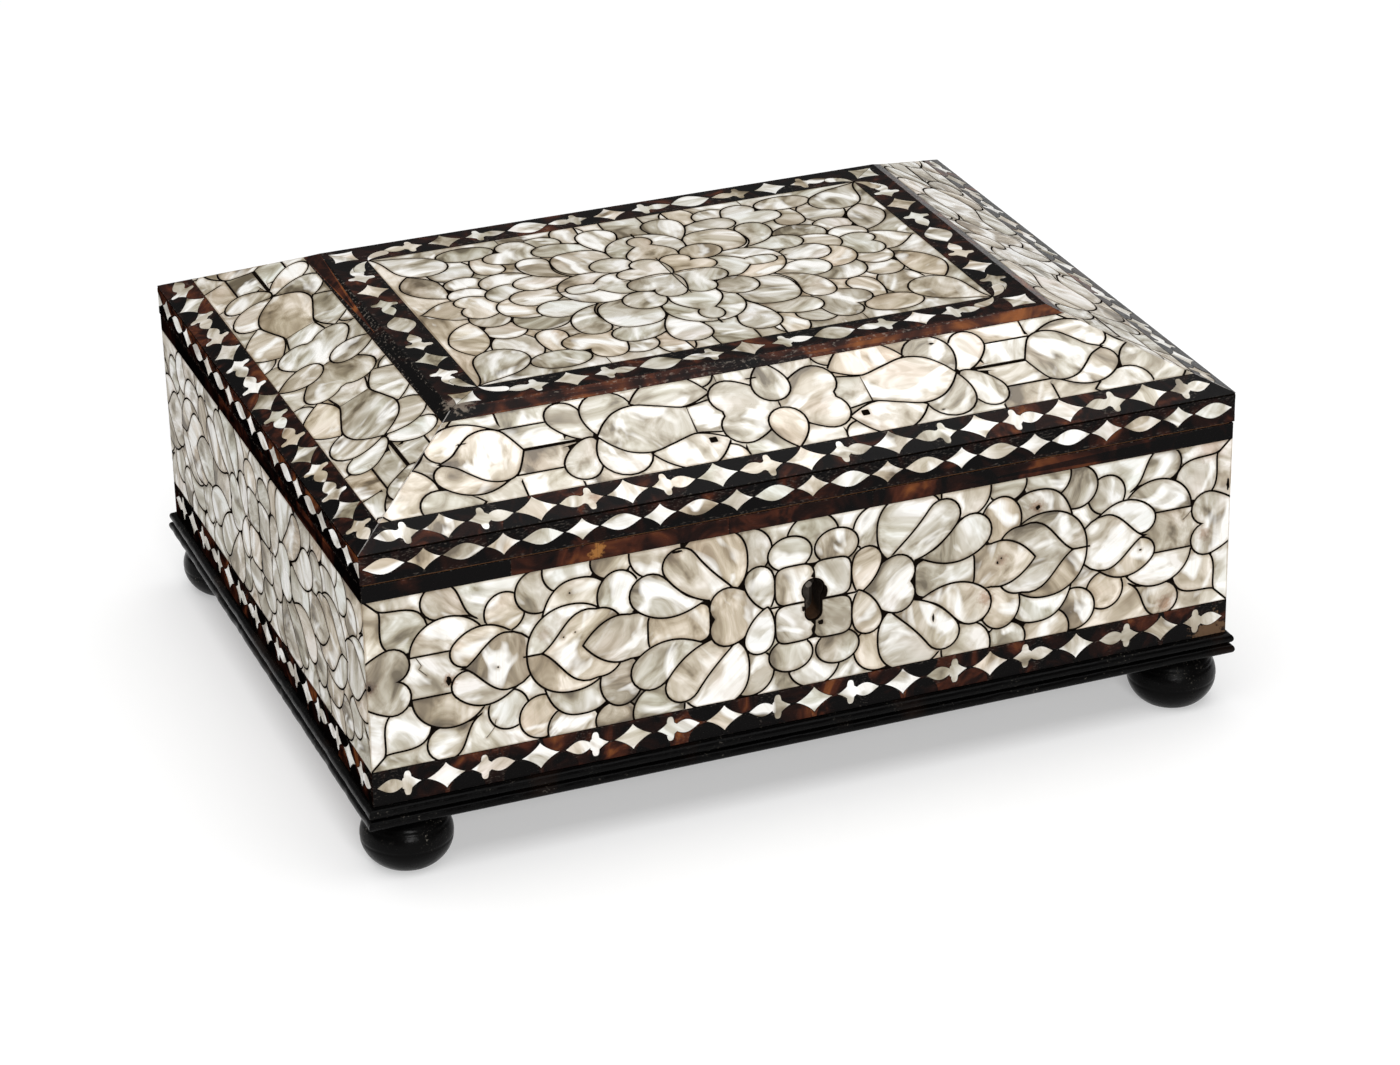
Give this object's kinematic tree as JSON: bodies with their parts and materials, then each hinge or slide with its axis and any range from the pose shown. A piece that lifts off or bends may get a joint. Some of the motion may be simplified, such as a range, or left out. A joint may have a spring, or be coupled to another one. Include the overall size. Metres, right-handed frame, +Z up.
{
  "type": "veneered casket with a hinged coffered lid",
  "caption": "Rectangular wooden casket veneered with mother-of-pearl and tortoiseshell, with a hinged coffered lid, a keyhole and bun feet.",
  "frame": {"origin": "on the floor, under the middle of the box", "axes": "+X to the right along the front, -Y out of the front where the keyhole is, +Z up"},
  "size_m": [0.4364, 0.3477, 0.1947],
  "materials": {
    "mother_of_pearl": "polished mother-of-pearl, silvery white to beige, cloudy",
    "tortoiseshell": "polished tortoiseshell, near black with red-brown mottling",
    "ebonised_wood": "black polished wood, worn along its edges",
    "cedar": "plain planed wood",
    "iron": "dark forged iron"
  },
  "bodies": {
    "case": {"case_wall_front": "cedar", "case_wall_back": "cedar", "case_wall_left": "cedar", "case_wall_right": "cedar", "case_floor": "cedar", "base_moulding_front": "ebonised_wood", "base_moulding_back": "ebonised_wood", "base_moulding_left": "ebonised_wood", "base_moulding_right": "ebonised_wood", "bun_foot_front_left": "ebonised_wood", "bun_foot_front_right": "ebonised_wood", "bun_foot_back_left": "ebonised_wood", "bun_foot_back_right": "ebonised_wood", "case_lower_band_front": "tortoiseshell", "case_lower_band_back": "tortoiseshell", "case_lower_band_left": "tortoiseshell", "case_lower_band_right": "tortoiseshell", "case_pearl_field_front": "mother_of_pearl", "case_pearl_field_back": "mother_of_pearl", "case_pearl_field_left": "mother_of_pearl", "case_pearl_field_right": "mother_of_pearl", "case_upper_strip_front": "tortoiseshell", "case_upper_strip_back": "tortoiseshell", "case_upper_strip_left": "tortoiseshell", "case_upper_strip_right": "tortoiseshell", "hinge_left_case_leaf": "iron", "hinge_right_case_leaf": "iron", "hinge_left_pin": "iron", "hinge_right_pin": "iron", "lock_case": "iron"},
    "lid": {"lid_rail_front": "cedar", "lid_rail_back": "cedar", "lid_rail_left": "cedar", "lid_rail_right": "cedar", "lid_top_board": "cedar", "lid_rim_band_front": "tortoiseshell", "lid_rim_band_back": "tortoiseshell", "lid_rim_band_left": "tortoiseshell", "lid_rim_band_right": "tortoiseshell", "lid_slope_band_front": "tortoiseshell", "lid_slope_band_back": "tortoiseshell", "lid_slope_band_left": "tortoiseshell", "lid_slope_band_right": "tortoiseshell", "lid_pearl_slope_front": "mother_of_pearl", "lid_pearl_slope_back": "mother_of_pearl", "lid_pearl_slope_left": "mother_of_pearl", "lid_pearl_slope_right": "mother_of_pearl", "lid_fillet_front": "tortoiseshell", "lid_fillet_back": "tortoiseshell", "lid_fillet_left": "tortoiseshell", "lid_fillet_right": "tortoiseshell", "lid_top_border_front": "tortoiseshell", "lid_top_border_back": "tortoiseshell", "lid_top_border_left": "tortoiseshell", "lid_top_border_right": "tortoiseshell", "lid_pearl_top": "mother_of_pearl", "hinge_left_lid_leaf": "iron", "hinge_right_lid_leaf": "iron", "lock_catch": "iron"}
  },
  "joints": [
    {"name": "lid_hinge", "type": "hinge", "parent": "case", "child": "lid", "pos_m": [0, 0.1718, 0.14865], "axis": [-1, 0, 0], "range_deg": [0, 100]}
  ]
}
